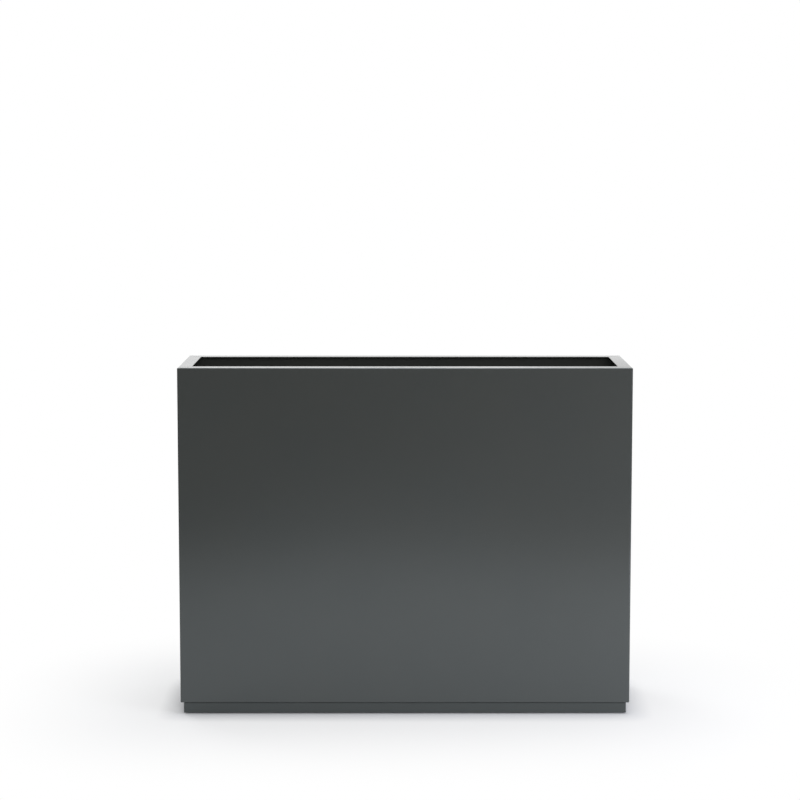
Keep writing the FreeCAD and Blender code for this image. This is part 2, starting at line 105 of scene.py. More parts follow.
# For each softbox: where it hangs, what it points at, and its width and height, in metres
SOFTBOXES = {
    "overhead": ((0.2, 0.2, 2.7), (0, 0.1, 0.3), (2.6, 1.2)),
    "front": ((0.3, -3.9, 1.65), (0, 0, 0.4), (2.0, 0.9)),
    "rear": ((-2.4, 3.0, 1.65), (0, 0, 0.4), (2.0, 0.9)),
    "side": ((1.3, -1.0, 0.42), (0.35, 0, 0.2), (0.7, 0.9)),
}


def linear(colour):
    """Turn an sRGB hex colour into linear red, green and blue, by the curve of the sRGB standard."""
    shares = [int(colour[start:start + 2], 16) / 255 for start in (1, 3, 5)]
    return [share / 12.92 if share <= 0.04045 else ((share + 0.055) / 1.055) ** 2.4 for share in shares]


def colour_property(name, description, colour):
    """A colour that a user can change, given as an sRGB hex value."""
    return bpy.props.FloatVectorProperty(
        name=name, description=description, subtype="COLOR", size=3, min=0, max=1, default=linear(colour))


def length_property(name, description, metres):
    """A length that a user can change."""
    return bpy.props.FloatProperty(
        name=name, description=description, unit="LENGTH", min=0, precision=5, default=metres)


def power_property(name, description, watts):
    """The power of a lamp, which a user can change."""
    return bpy.props.FloatProperty(name=name, description=description, unit="POWER", min=0, default=watts)


class PlanterColours(bpy.types.PropertyGroup):
    """Colours of the planter's finishes."""

    coat: colour_property("Coat", "Main tone of the powder coat", "#3B3C39")
    coat_cloud: colour_property("Coat cloud", "Second tone of the coat's faint clouding", "#373937")
    coat_glance: colour_property("Coat glance", "Cool tint of the coat's reflections", "#DEF2FF")
    spangle_light: colour_property("Light spangle", "Brightest crystals of the galvanising", "#B8BDC0")
    spangle_dark: colour_property("Dark spangle", "Darkest crystals of the galvanising", "#A7ACB0")
    zinc: colour_property("Zinc", "Bright zinc plate on the fasteners", "#C9CCCE")
    zinc_blush: colour_property("Zinc blush", "Straw tint in the zinc plate", "#C8C2AE")
    rubber: colour_property("Rubber", "Drain plugs", "#1A1A1B")
    rubber_bloom: colour_property("Rubber bloom", "Grey bloom on the rubber", "#2C2C2D")
    nylon: colour_property("Nylon", "Foot pads", "#1C1D1F")
    nylon_scuff: colour_property("Nylon scuff", "Scuffed places on the foot pads", "#303235")
    paper: colour_property("Paper", "Studio paper under the planter", "#F1F2F4")
    flag: colour_property("Flag", "Dark cards that shade the reflections", "#46484A")
    side_light: colour_property("Side light", "Cool tint of the soft light near the right end", "#F3F4FF")


class PlanterSizes(bpy.types.PropertyGroup):
    """Sizes of the details that finish the planter."""

    stitch_length: length_property("Stitch length", "Length of one stitch of weld", 26 * MM)
    stitch_pitch: length_property("Stitch pitch", "From one stitch to the next", 82 * MM)
    bead_radius: length_property("Bead radius", "Half the width of a weld bead", 2 * MM)
    ripple_pitch: length_property("Ripple pitch", "From one ripple of a bead to the next", 2.2 * MM)
    mitre_radius: length_property("Mitre seam radius", "Half the width of a ground mitre seam", 0.9 * MM)
    spot_radius: length_property("Spot weld radius", "Half the width of a spot weld", 3 * MM)
    spot_pitch: length_property("Spot weld pitch", "From one spot weld to the next", 64 * MM)
    stud_radius: length_property("Stud radius", "Outside radius of the feet's thread", 3.85 * MM)
    stud_pitch: length_property("Stud thread pitch", "Pitch of the feet's thread", 1.25 * MM)
    screw_radius: length_property("Screw radius", "Outside radius of the screws' thread", 3 * MM)
    screw_pitch: length_property("Screw thread pitch", "Pitch of the screws' thread", 1 * MM)
    hole_radius: length_property("Drain hole radius", "Round holes of the shelf", 5 * MM)
    hole_pitch: length_property("Drain hole pitch", "From hole to hole along the shelf", 40 * MM)
    row_pitch: length_property("Drain row pitch", "From row to row across the shelf", 45 * MM)
    hole_end_margin: length_property("End margin", "Least distance of a hole from the ends", 68 * MM)
    hole_side_margin: length_property("Side margin", "Least distance of a hole from the sides", 30 * MM)
    finger_radius: length_property("Finger hole radius", "Holes that the shelf is lifted by", 14 * MM)
    finger_inset: length_property("Finger hole inset", "From the shelf's end to its middle", 36 * MM)
    finger_roll: length_property("Finger hole roll", "Radius of its rolled edge", 1.2 * MM)


class PlanterStage(bpy.types.PropertyGroup):
    """Camera and light."""

    lens: bpy.props.FloatProperty(
        name="Lens", description="Focal length of the camera", unit="CAMERA", min=1, default=85.2)
    camera_place: bpy.props.FloatVectorProperty(
        name="Camera place", description="Where the camera stands", subtype="TRANSLATION", size=3,
        default=(-0.010, -3.881, 1.155))
    camera_pitch: bpy.props.FloatProperty(
        name="Camera pitch", description="How far the camera looks down", subtype="ANGLE",
        default=math.radians(5.27))
    camera_shift: bpy.props.FloatProperty(
        name="Camera shift", description="Upward shift of the lens, as a share of the picture's width",
        default=-0.10)
    ambient: bpy.props.FloatProperty(
        name="Ambient", description="Even light from all round", min=0, default=0.42)
    overhead_power: power_property("Overhead power", "Soft light above", 26)
    front_power: power_property("Front power", "Soft light behind the camera", 59)
    rear_power: power_property("Rear power", "Soft light behind the planter", 50)
    side_power: power_property("Side power", "Soft light near the right end", 12.5)


# Nodes, meshes and finishes

def add_node(tree, kind, inputs=None, **settings):
    """Add one node, with its settings, and its inputs as constants, links or lists of links."""
    node = tree.nodes.new(kind)
    for name, value in settings.items():
        setattr(node, name, value)
    for key, value in (inputs or {}).items():
        for source in value if isinstance(value, list) else [value]:
            if isinstance(source, bpy.types.Node):
                source = source.outputs[0]
            if isinstance(source, bpy.types.NodeSocket):
                tree.links.new(source, node.inputs[key])
            else:
                node.inputs[key].default_value = source
    return node


def opaque(colour):
    """A colour with full alpha, as colour sockets take it."""
    return (*colour, 1)


def new_material(name):
    """Start a material: also the function that adds a node to it, and the object's own coordinates."""
    material = bpy.data.materials.new(name)
    material.use_nodes = True
    material.node_tree.nodes.clear()
    add = partial(add_node, material.node_tree)
    return material, add, add("ShaderNodeTexCoord").outputs["Object"]


def add_surface(add, tone_mask, tones, gloss_mask, gloss, relief, constants):
    """End a material: two tones and a span of roughness that follow their masks, over a relief."""
    # Sockets 6 and 7, and output 2, are the ones for colours among the node's sockets of like names
    tone = add("ShaderNodeMix", {
        0: tone_mask, 6: opaque(tones[0]), 7: opaque(tones[1])}, data_type="RGBA")
    rough = add(MAP_RANGE, {"Value": gloss_mask, "To Min": gloss[0], "To Max": gloss[1]})
    surface = add("ShaderNodeBsdfPrincipled", {
        **constants, "Base Color": tone.outputs[2], "Roughness": rough, "Normal": relief})
    add("ShaderNodeOutputMaterial", {"Surface": surface})


def powder_coat(colours, name="charcoal_powder_coat", skin=1.0):
    """Satin powder coat on sheet steel: a cured polymer film sprayed on as dust.

    The eye sees an even charcoal with a faint clouding, the orange peel of the melted powder, the
    slight waves of the sheet below, and a skin that mirrors its surroundings at a glancing angle.
    """
    cloud_width, peel_width, wave_width = 140 * MM, 4 * MM, 520 * MM
    peel_depth, wave_depth = 0.03 * MM, 31.5 * MM
    wave_start = (4.73, 8.18, 3.28)
    tones, gloss = (colours.coat, colours.coat_cloud), (0.22, 0.28)
    material, add, place = new_material(name)
    cloud = add("ShaderNodeTexNoise", {"Vector": place, "Scale": 1 / cloud_width, "Detail": 3})
    # Slow waves of the thin sheet, from a given start. They are drawn deeper than they are,
    # so that they bend its reflections.
    moved = add("ShaderNodeMapping", {"Vector": place, "Location": wave_start})
    wave = add("ShaderNodeTexNoise", {"Vector": moved, "Scale": 1 / wave_width, "Detail": 0})
    waved = add("ShaderNodeBump", {"Height": wave, "Distance": wave_depth, "Strength": 1})
    # Orange peel is nearer 2 mm wide, and is drawn coarser so that it shows
    peel = add("ShaderNodeTexNoise", {"Vector": place, "Scale": 1 / peel_width, "Detail": 2})
    peeled = add("ShaderNodeBump", {
        "Height": peel, "Distance": peel_depth, "Strength": 1, "Normal": waved})
    add_surface(add, cloud, tones, cloud, gloss, peeled, {
        "IOR": 1.5, "Specular Tint": opaque(colours.coat_glance), "Coat Weight": skin,
        "Coat IOR": 1.33, "Coat Roughness": 0.2, "Coat Normal": peeled})
    return material


def shaded_plinth_coat(colours):
    """A copy of the powder coat with a much weaker coat layer, so that the plinth mirrors less and reads
    darker: painted shade standing in for the lee of the shell and the shadowed floor that it mirrors.
    """
    return powder_coat(colours, "thin_charcoal_powder_coat", skin=0.28)


def galvanised_steel(colours):
    """Hot-dip galvanised steel: zinc frozen from the melt into flat crystals.

    The eye sees a spangle of light and dark grey patches, each with its own gloss.
    """
    spangle_width, spangle_step = 9 * MM, 0.03 * MM
    tones, gloss = (colours.spangle_dark, colours.spangle_light), (0.36, 0.46)
    material, add, place = new_material("galvanised_steel")
    spangle = add("ShaderNodeTexVoronoi", {"Vector": place, "Scale": 1 / spangle_width}).outputs
    parts = add("ShaderNodeSeparateColor", {0: spangle["Color"]}).outputs
    relief = add("ShaderNodeBump", {
        "Height": spangle["Distance"], "Distance": spangle_step, "Strength": 1})
    add_surface(add, parts["Red"], tones, parts["Green"], gloss, relief, {"Metallic": 1})
    return material


def grained_finish(name, tones, gloss, patch_width, patch_detail, grain_width, grain_depth, constants):
    """A surface that drifts between two tones in patches, over a grain."""
    material, add, place = new_material(name)
    patch = add("ShaderNodeTexNoise", {"Vector": place, "Scale": 1 / patch_width, "Detail": patch_detail})
    # The real grain is finer, and is drawn coarser so that it shows
    grain = add("ShaderNodeTexNoise", {"Vector": place, "Scale": 1 / grain_width, "Detail": 2})
    relief = add("ShaderNodeBump", {"Height": grain, "Distance": grain_depth, "Strength": 1})
    add_surface(add, patch, tones, patch, gloss, relief, constants)
    return material


def zinc_plate(colours):
    """Bright zinc plate on turned steel: a thin electroplated film with a passivated surface.

    The eye sees a clean silver with a breath of straw colour and a soft gloss.
    """
    tones = (colours.zinc, colours.zinc_blush)
    return grained_finish(
        "zinc_plate", tones, gloss=(0.22, 0.38), patch_width=9 * MM, patch_detail=2,
        grain_width=0.8 * MM, grain_depth=0.004 * MM, constants={"Metallic": 1})


def moulded_rubber(colours):
    """Moulded rubber: matt black, with the grey bloom that rises to its surface."""
    tones = (colours.rubber, colours.rubber_bloom)
    return grained_finish(
        "moulded_rubber", tones, gloss=(0.55, 0.75), patch_width=12 * MM, patch_detail=4,
        grain_width=0.7 * MM, grain_depth=0.02 * MM, constants={"IOR": 1.52})


def moulded_nylon(colours):
    """Glass-filled nylon: dark, fine-grained from the mould, and paler where it has scuffed."""
    tones = (colours.nylon, colours.nylon_scuff)
    return grained_finish(
        "glass_filled_nylon", tones, gloss=(0.4, 0.6), patch_width=6 * MM, patch_detail=4,
        grain_width=0.6 * MM, grain_depth=0.02 * MM, constants={"IOR": 1.53})


FINISHES = {
    "charcoal_coat": powder_coat,
    "shaded_plinth_coat": shaded_plinth_coat,
    "galvanised_steel": galvanised_steel,
    "zinc_plate": zinc_plate,
    "black_rubber": moulded_rubber,
    "black_nylon": moulded_nylon,
}
made_finishes = {}


def finish(slot):
    """The material of a finish, made once."""
    if slot not in made_finishes:
        made_finishes[slot] = FINISHES[slot](bpy.context.scene.planter_colours)
    return made_finishes[slot]


def show(name, data):
    """Put a new object in the scene."""
    item = bpy.data.objects.new(name, data)
    bpy.context.scene.collection.objects.link(item)
    return item


def add_piece(name, mesh, body, slot, *replaced):
    """Show a mesh as a piece of the planter that rides on a body."""
    piece = show(name, mesh)
    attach(piece, body)
    if replaced:
        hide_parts(*replaced)


def new_tree(name, *inputs):
    """Start a geometry node tree: also the function that adds a node to it, and its named inputs."""
    tree = bpy.data.node_groups.new(name, "GeometryNodeTree")
    sockets = {"Geometry": "NodeSocketGeometry", "Material": "NodeSocketMaterial"}
    for label in inputs:
        sockets[label] = "NodeSocketInt" if label.endswith("Count") else "NodeSocketFloat"
    for label, kind in sockets.items():
        tree.interface.new_socket(label, in_out="INPUT", socket_type=kind)
    tree.interface.new_socket("Geometry", in_out="OUTPUT", socket_type="NodeSocketGeometry")
    add = partial(add_node, tree)
    return tree, add, add("NodeGroupInput").outputs


def close_tree(add, given, shape):
    """Stand a shape on every point, facing its way, and end the tree with real faces and a material."""
    sharp_angle = math.radians(38)
    facing = add("GeometryNodeInputNamedAttribute", {"Name": "facing"}, data_type="FLOAT_VECTOR")
    turn = add("FunctionNodeAlignRotationToVector", {"Vector": facing}, axis="Z")
    copies = add("GeometryNodeInstanceOnPoints", {
        "Points": given["Geometry"], "Instance": shape, "Rotation": turn})
    real = add("GeometryNodeRealizeInstances", {"Geometry": copies})
    angle = add("GeometryNodeInputMeshEdgeAngle").outputs["Unsigned Angle"]
    gentle = add(MATH, {0: angle, 1: sharp_angle}, operation="LESS_THAN")
    smooth = add("GeometryNodeSetShadeSmooth", {"Geometry": real, "Shade Smooth": gentle}, domain="EDGE")
    finished = add("GeometryNodeSetMaterial", {"Geometry": smooth, "Material": given["Material"]})
    add("NodeGroupOutput", {0: finished})


def build_piece(name, body, slot, tree, places, values, *replaced):
    """Run a tree once on its places, and show the result as a plain mesh that rides on a body.

    A place is a point and the direction that it faces.
    """
    points = bpy.data.meshes.new("points")
    points.from_pydata([point for point, direction in places], [], [])
    facing = points.attributes.new("facing", "FLOAT_VECTOR", "POINT")
    for item, (point, direction) in zip(facing.data, places):
        item.vector = direction
    carrier = show(tree.name, points)
    modifier = carrier.modifiers.new(tree.name, "NODES")
    modifier.node_group = tree
    values = {**values, "Material": finish(slot)}
    for item in tree.interface.items_tree:
        if item.in_out == "INPUT" and item.name in values:
            modifier[item.identifier] = values[item.name]
    graph = bpy.context.evaluated_depsgraph_get()
    mesh = bpy.data.meshes.new_from_object(carrier.evaluated_get(graph), depsgraph=graph)
    carrier.modifiers.remove(modifier)
    bpy.data.objects.remove(carrier)
    bpy.data.meshes.remove(points)
    add_piece(name, mesh, body, slot, *replaced)


def evenly(low, high, pitch):
    """Places about a pitch apart that divide a run evenly and stay half a pitch inside its ends."""
    count = max(1, round((high - low) / pitch))
    return [low + (high - low) * (place + 0.5) / count for place in range(count)]


# Node trees of the repeated details

def weld_tree():
    """A stitch of weld: a bead with the ripples of the arc's steps, fading out at both ends."""
    sides, rings_per_ripple, end_share, ripple_share, tip_share = 8, 4, 0.12, 0.16, 0.25
    tree, add, given = new_tree("weld_stitches", "Length", "Radius", "Ripple Count")
    below = add(MATH, {0: given["Length"], 1: -0.5}, operation="MULTIPLY")
    start = add("ShaderNodeCombineXYZ", {"Z": below})
    line = add("GeometryNodeCurvePrimitiveLine", {
        "Start": start, "Direction": UP, "Length": given["Length"]}, mode="DIRECTION")
    rings = add(MATH, {0: given["Ripple Count"], 1: rings_per_ripple}, operation="MULTIPLY")
    path = add("GeometryNodeResampleCurve", {"Curve": line, "Count": rings})
    along = add("GeometryNodeSplineParameter").outputs["Factor"]
    # Ripples: the bead is fullest at the middle of each step
    phase = add(MATH, {0: along, 1: given["Ripple Count"]}, operation="MULTIPLY")
    swell = add(MATH, {0: phase, 1: math.pi}, operation="MULTIPLY")
    wave = add(MATH, {0: swell}, operation="SINE")
    hump = add(MATH, {0: wave}, operation="ABSOLUTE")
    ripple = add(MAP_RANGE, {"Value": hump, "To Min": 1 - ripple_share, "To Max": 1})
    # Ends: the bead thins out over a short run
    middle = add(MATH, {0: along, 1: 0.5}, operation="SUBTRACT")
    off_middle = add(MATH, {0: middle}, operation="ABSOLUTE")
    taper = add(MAP_RANGE, {
        "Value": off_middle, "From Min": 0.5 - end_share, "From Max": 0.5,
        "To Min": 1, "To Max": tip_share}, interpolation_type="SMOOTHSTEP")
    fullness = add(MATH, {0: ripple, 1: taper}, operation="MULTIPLY")
    section = add("GeometryNodeCurvePrimitiveCircle", {"Resolution": sides, "Radius": given["Radius"]})
    bead = add("GeometryNodeCurveToMesh", {
        "Curve": path, "Profile Curve": section, "Scale": fullness, "Fill Caps": True})
    close_tree(add, given, bead)
    return tree


def spot_weld_tree():
    """A spot weld: a low round button with the dish that the electrode pressed into it."""
    segments, rings, flatness, dish_share, dish_reach_share = 14, 8, 0.14, 0.75, 0.7
    tree, add, given = new_tree("spot_welds", "Radius")
    ball = add("GeometryNodeMeshUVSphere", {
        "Segments": segments, "Rings": rings, "Radius": given["Radius"]})
    place = add("GeometryNodeInputPosition")
    parts = add("ShaderNodeSeparateXYZ", {0: place}).outputs
    flat = add("ShaderNodeCombineXYZ", {"X": parts["X"], "Y": parts["Y"]})
    reach = add("ShaderNodeVectorMath", {0: flat}, operation="LENGTH").outputs["Value"]
    share = add(MATH, {0: reach, 1: given["Radius"]}, operation="DIVIDE")
    dish = add(MAP_RANGE, {
        "Value": share, "From Max": dish_reach_share, "To Min": 1 - dish_share, "To Max": 1},
        interpolation_type="SMOOTHSTEP")
    squat = add(MATH, {0: dish, 1: flatness}, operation="MULTIPLY")
    height = add(MATH, {0: parts["Z"], 1: squat}, operation="MULTIPLY")
    pressed = add("ShaderNodeCombineXYZ", {"X": parts["X"], "Y": parts["Y"], "Z": height})
    button = add("GeometryNodeSetPosition", {"Geometry": ball, "Position": pressed})
    close_tree(add, given, button)
    return tree


def add_blank(add, bottom, top, sides, radius, levels=1):
    """A round blank that stands between two heights."""
    total = add(MATH, {0: top, 1: bottom}, operation="ADD")
    middle = add(MATH, {0: total, 1: 0.5}, operation="MULTIPLY")
    lift = add("ShaderNodeCombineXYZ", {"Z": middle})
    depth = add(MATH, {0: top, 1: bottom}, operation="SUBTRACT")
    blank = add("GeometryNodeMeshCylinder", {
        "Vertices": sides, "Side Segments": levels, "Radius": radius, "Depth": depth})
    return add("GeometryNodeTransform", {"Geometry": blank, "Translation": lift})


def add_station(add, bottom, top):
    """Each point's angle about a blank's axis, its height, and its depth from the nearer end."""
    place = add("GeometryNodeInputPosition")
    parts = add("ShaderNodeSeparateXYZ", {0: place}).outputs
    angle = add(MATH, {0: parts["Y"], 1: parts["X"]}, operation="ARCTAN2")
    above = add(MATH, {0: parts["Z"], 1: bottom}, operation="SUBTRACT")
    below = add(MATH, {0: top, 1: parts["Z"]}, operation="SUBTRACT")
    inside = add(MATH, {0: above, 1: below}, operation="MINIMUM")
    return angle, parts["Z"], inside


def add_turned(add, blank, angle, reach, height):
    """Move each point of a blank to a new reach from the upright axis, at the same angle."""
    across = add(MATH, {0: angle}, operation="COSINE")
    along = add(MATH, {0: angle}, operation="SINE")
    out_x = add(MATH, {0: across, 1: reach}, operation="MULTIPLY")
    out_y = add(MATH, {0: along, 1: reach}, operation="MULTIPLY")
    target = add("ShaderNodeCombineXYZ", {"X": out_x, "Y": out_y, "Z": height})
    return add("GeometryNodeSetPosition", {"Geometry": blank, "Position": target})


def add_hexagon(add, flats, bottom, top):
    """A hexagon block with a corner along X, and the corners of both faces turned off at a slant."""
    sides, levels, face_share, chamfer_slope = 96, 20, 0.94, 0.6
    blank = add_blank(add, bottom, top, sides, flats, levels)
    angle, height, inside = add_station(add, bottom, top)
    sector = add(MATH, {0: angle, 1: SIXTH_TURN, 2: 0}, operation="WRAP")
    off_flat = add(MATH, {0: sector, 1: SIXTH_TURN / 2}, operation="SUBTRACT")
    lean = add(MATH, {0: off_flat}, operation="COSINE")
    half_flats = add(MATH, {0: flats, 1: 0.5}, operation="MULTIPLY")
    hexagon = add(MATH, {0: half_flats, 1: lean}, operation="DIVIDE")
    face = add(MATH, {0: half_flats, 1: face_share}, operation="MULTIPLY")
    spread = add(MATH, {0: inside, 1: chamfer_slope}, operation="DIVIDE")
    cone = add(MATH, {0: face, 1: spread}, operation="ADD")
    reach = add(MATH, {0: hexagon, 1: cone}, operation="MINIMUM")
    return add_turned(add, blank, angle, reach, height)


def fastener_tree():
    """A threaded rod with a hexagon on it: a screw's head at its end, or a stud's collar."""
    sides, depth_share = 28, 0.61
    tree, add, given = new_tree(
        "threaded_fasteners", "Radius", "Pitch", "Bottom", "Top", "Ring Count", "Flats",
        "Hexagon Bottom", "Hexagon Top")
    blank = add_blank(add, given["Bottom"], given["Top"], sides, given["Radius"], given["Ring Count"])
    angle, height, inside = add_station(add, given["Bottom"], given["Top"])
    # The groove winds down the rod: its depth follows height and angle together
    turns = add(MATH, {0: height, 1: given["Pitch"]}, operation="DIVIDE")
    lead = add(MATH, {0: angle, 1: FULL_TURN}, operation="DIVIDE")
    phase = add(MATH, {0: turns, 1: lead}, operation="SUBTRACT")
    groove = add(MATH, {0: phase, 1: 0.5}, operation="PINGPONG")
    depth = add(MATH, {0: given["Pitch"], 1: 2 * depth_share}, operation="MULTIPLY")
    cut = add(MATH, {0: groove, 1: depth}, operation="MULTIPLY")
    thread = add(MATH, {0: given["Radius"], 1: cut}, operation="SUBTRACT")
    # Both ends are chamfered down to the root of the thread
    root_depth = add(MATH, {0: given["Pitch"], 1: depth_share}, operation="MULTIPLY")
    root = add(MATH, {0: given["Radius"], 1: root_depth}, operation="SUBTRACT")
    chamfer = add(MATH, {0: root, 1: inside}, operation="ADD")
    reach = add(MATH, {0: thread, 1: chamfer}, operation="MINIMUM")
    rod = add_turned(add, blank, angle, reach, height)
    head = add_hexagon(add, given["Flats"], given["Hexagon Bottom"], given["Hexagon Top"])
    close_tree(add, given, add("GeometryNodeJoinGeometry", {0: [rod, head]}))
    return tree


def nut_tree():
    """A hexagon nut: a chamfered block with a hole drilled through it, past both faces."""
    sides, overrun = 32, 1 * MM
    tree, add, given = new_tree("hexagon_nuts", "Flats", "Bottom", "Top", "Bore")
    block = add_hexagon(add, given["Flats"], given["Bottom"], given["Top"])
    low = add(MATH, {0: given["Bottom"], 1: overrun}, operation="SUBTRACT")
    high = add(MATH, {0: given["Top"], 1: overrun}, operation="ADD")
    drill = add_blank(add, low, high, sides, given["Bore"])
    drilled = add("GeometryNodeMeshBoolean", {0: block, 1: drill}, operation="DIFFERENCE", solver="EXACT")
    close_tree(add, given, drilled)
    return tree


def collar_tree():
    """The rounded edge of a round hole: a ring of round section."""
    sides, section_sides = 28, 8
    tree, add, given = new_tree("hole_edges", "Radius", "Edge")
    ring = add("GeometryNodeCurvePrimitiveCircle", {"Resolution": sides, "Radius": given["Radius"]})
    section = add("GeometryNodeCurvePrimitiveCircle", {
        "Resolution": section_sides, "Radius": given["Edge"]})
    edge = add("GeometryNodeCurveToMesh", {"Curve": ring, "Profile Curve": section})
    close_tree(add, given, edge)
    return tree


# Places and sizes that the details take from the part

def wall_inside():
    """How far the inner faces of the end walls, and of the long walls, stand from the middle."""
    inside_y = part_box("back_left_stiffener")[1].y
    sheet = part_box("back_panel")[1].y - inside_y
    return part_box("right_end_panel")[1].x - sheet, inside_y


def across_flats(low, high):
    """The size across flats of a hexagon with a corner along X, from its box."""
    return (high.x - low.x) * math.cos(SIXTH_TURN / 2)


def hexagon_plan(node):
    """Where a node's solids stand, one in each quarter of the plan, and the size of their hexagons."""
    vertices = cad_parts[node].data.vertices
    places = []
    for across, along in QUARTERS:
        own = [vertex.co for vertex in vertices if vertex.co.x * across > 0 and vertex.co.y * along > 0]
        low = Vector(map(min, *own))
        high = Vector(map(max, *own))
        places.append((((low.x + high.x) / 2, (low.y + high.y) / 2, 0), UP))
    return places, across_flats(low, high)


def fit_nuts(name, node, thread_radius):
    """Make the nuts that stand for a node, bored clear of their thread."""
    low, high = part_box(node)
    places, flats = hexagon_plan(node)
    values = {"Flats": flats, "Bottom": low.z, "Top": high.z, "Bore": thread_radius + BORE_CLEARANCE}
    build_piece(name, "shell", "zinc_plate", nut_tree(), places, values, node)


def join_rings(solid, lower, upper):
    """Put faces between two rings of points, either of which may be a single point."""
    count = max(len(lower), len(upper))
    for step in range(count):
        following = (step + 1) % count
        corners = [lower[step % len(lower)], lower[following % len(lower)],
                   upper[following % len(upper)], upper[step % len(upper)]]
        solid.faces.new(list(dict.fromkeys(corners)))


def lathe(profile, sides, wobble=None):
    """Turn an outline of (radius, height) points, from axis to axis, into a closed solid."""
    solid = bmesh.new()
    rings = []
    for radius, height in profile:
        if radius == 0:
            rings.append([solid.verts.new((0, 0, height))])
            continue
        ring = []
        for step in range(sides):
            angle = FULL_TURN * step / sides
            reach = radius * (wobble(angle, radius) if wobble else 1)
            ring.append(solid.verts.new((reach * math.cos(angle), reach * math.sin(angle), height)))
        rings.append(ring)
    for lower, upper in zip(rings, rings[1:]):
        join_rings(solid, lower, upper)
    return solid


def keep_solid(solid, name, slot, centre):
    """Turn a solid into a mesh over its centre, facing outwards, smooth but for its sharp corners."""
    sharp_angle = math.radians(40)
    bmesh.ops.recalc_face_normals(solid, faces=solid.faces)
    solid.normal_update()
    for face in solid.faces:
        face.smooth = True
    for edge in solid.edges:
        edge.smooth = edge.calc_face_angle(math.pi) < sharp_angle
    for vertex in solid.verts:
        vertex.co.x += centre.x
        vertex.co.y += centre.y
    mesh = bpy.data.meshes.new(name)
    solid.to_mesh(mesh)
    solid.free()
    mesh.materials.append(finish(slot))
    return mesh


# Operators: one for each piece or group of like pieces

class PLANTER_OT_finish_nodes(bpy.types.Operator):
    """Give every piece of the part its finish"""

    bl_idname = "planter.finish_nodes"
    bl_label = "Finish the sheet metal"

    def execute(self, context):
        for slot, names in NODE_FINISHES.items():
            for name in names:
                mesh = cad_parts[name].data
                mesh.materials.clear()
                mesh.materials.append(finish(slot))
        return {"FINISHED"}


class PLANTER_OT_weld_shell(bpy.types.Operator):
    """Lay the stitches of weld inside the corners and round the base pan, and the rim's mitre seams"""

    bl_idname = "planter.weld_shell"
    bl_label = "Weld the shell"

    def execute(self, context):
        sizes = context.scene.planter_sizes
        tree = weld_tree()
        self.weld_corners(sizes, tree)
        self.weld_pan(sizes, tree)
        self.weld_mitres(sizes, tree)
        return {"FINISHED"}

    def lay_beads(self, name, sizes, tree, places, length, radius):
        """Lay a bead at each place, along the direction that the place faces."""
        values = {"Length": length, "Radius": radius, "Ripple Count": round(length / sizes.ripple_pitch)}
        build_piece(name, "shell", "charcoal_coat", tree, places, values)

    def weld_corners(self, sizes, tree):
        """Upright stitches where a long wall meets an end wall, clear of the shelf ledges."""
        inside_x, inside_y = wall_inside()
        pan_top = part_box("base_pan")[1].z
        ledge_low, ledge_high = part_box("back_shelf_ledge")
        rim_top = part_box("back_panel")[1].z
        set_in = sizes.bead_radius / 2
        runs = ((pan_top, ledge_low.z), (ledge_high.z, rim_top))
        levels = [level for low, high in runs for level in evenly(low, high, sizes.stitch_pitch)]
        places = [(((inside_x - set_in) * across, (inside_y - set_in) * along, level), UP)
                  for across, along in QUARTERS for level in levels]
        self.lay_beads("corner_welds", sizes, tree, places, sizes.stitch_length, sizes.bead_radius)

    def weld_pan(self, sizes, tree):
        """Thinner level stitches along the top of the base pan's lip, on all four walls."""
        radius = 0.8 * sizes.bead_radius
        inside_x, inside_y = wall_inside()
        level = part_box("base_pan")[1].z
        set_in = sizes.bead_radius / 2
        places = []
        for way in BOTH_WAYS:
            for along in evenly(-inside_x, inside_x, 2 * sizes.stitch_pitch):
                places.append(((along, (inside_y - set_in) * way, level), (1, 0, 0)))
            for along in evenly(-inside_y, inside_y, 2 * sizes.stitch_pitch):
                places.append((((inside_x - set_in) * way, along, level), (0, 1, 0)))
        self.lay_beads("pan_welds", sizes, tree, places, sizes.stitch_length, radius)

    def weld_mitres(self, sizes, tree):
        """Ground seams across the rim's four mitred corners, standing just proud of it."""
        proud = 0.15 * MM
        inner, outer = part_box("right_end_panel")
        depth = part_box("back_panel")[1].y
        rim_width = outer.x - inner.x
        level = outer.z - sizes.mitre_radius + proud
        places = []
        for across, along in QUARTERS:
            point = ((outer.x - rim_width / 2) * across, (depth - rim_width / 2) * along, level)
            places.append((point, (across, along, 0)))
        length = math.hypot(rim_width, rim_width) - 2 * sizes.mitre_radius
        self.lay_beads("mitre_seams", sizes, tree, places, length, sizes.mitre_radius)


class PLANTER_OT_weld_spots(bpy.types.Operator):
    """Press the spot welds that hold the ledges and the stiffeners to the long walls"""

    bl_idname = "planter.weld_spots"
    bl_label = "Spot weld the ledges and stiffeners"

    def execute(self, context):
        sizes = context.scene.planter_sizes
        ledge_sheet, hat_sheet, hat_flange, ledge_level_share = 2 * MM, 1.2 * MM, 12 * MM, 0.4
        inside_y = wall_inside()[1]
        places = []
        for wall, way in zip(LONG_WALLS, BOTH_WAYS):
            inward = (0, -way, 0)
            low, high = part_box(f"{wall}_shelf_ledge")
            level = low.z + (high.z - low.z) * ledge_level_share
            for along in evenly(low.x, high.x, sizes.spot_pitch):
                places.append(((along, (inside_y - ledge_sheet) * way, level), inward))
            for side in SIDES:
                low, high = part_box(f"{wall}_{side}_stiffener")
                for along in (low.x + hat_flange / 2, high.x - hat_flange / 2):
                    for level in evenly(low.z, high.z, sizes.spot_pitch):
                        places.append(((along, (inside_y - hat_sheet) * way, level), inward))
        values = {"Radius": sizes.spot_radius}
        build_piece("spot_welds", "shell", "charcoal_coat", spot_weld_tree(), places, values)
        return {"FINISHED"}


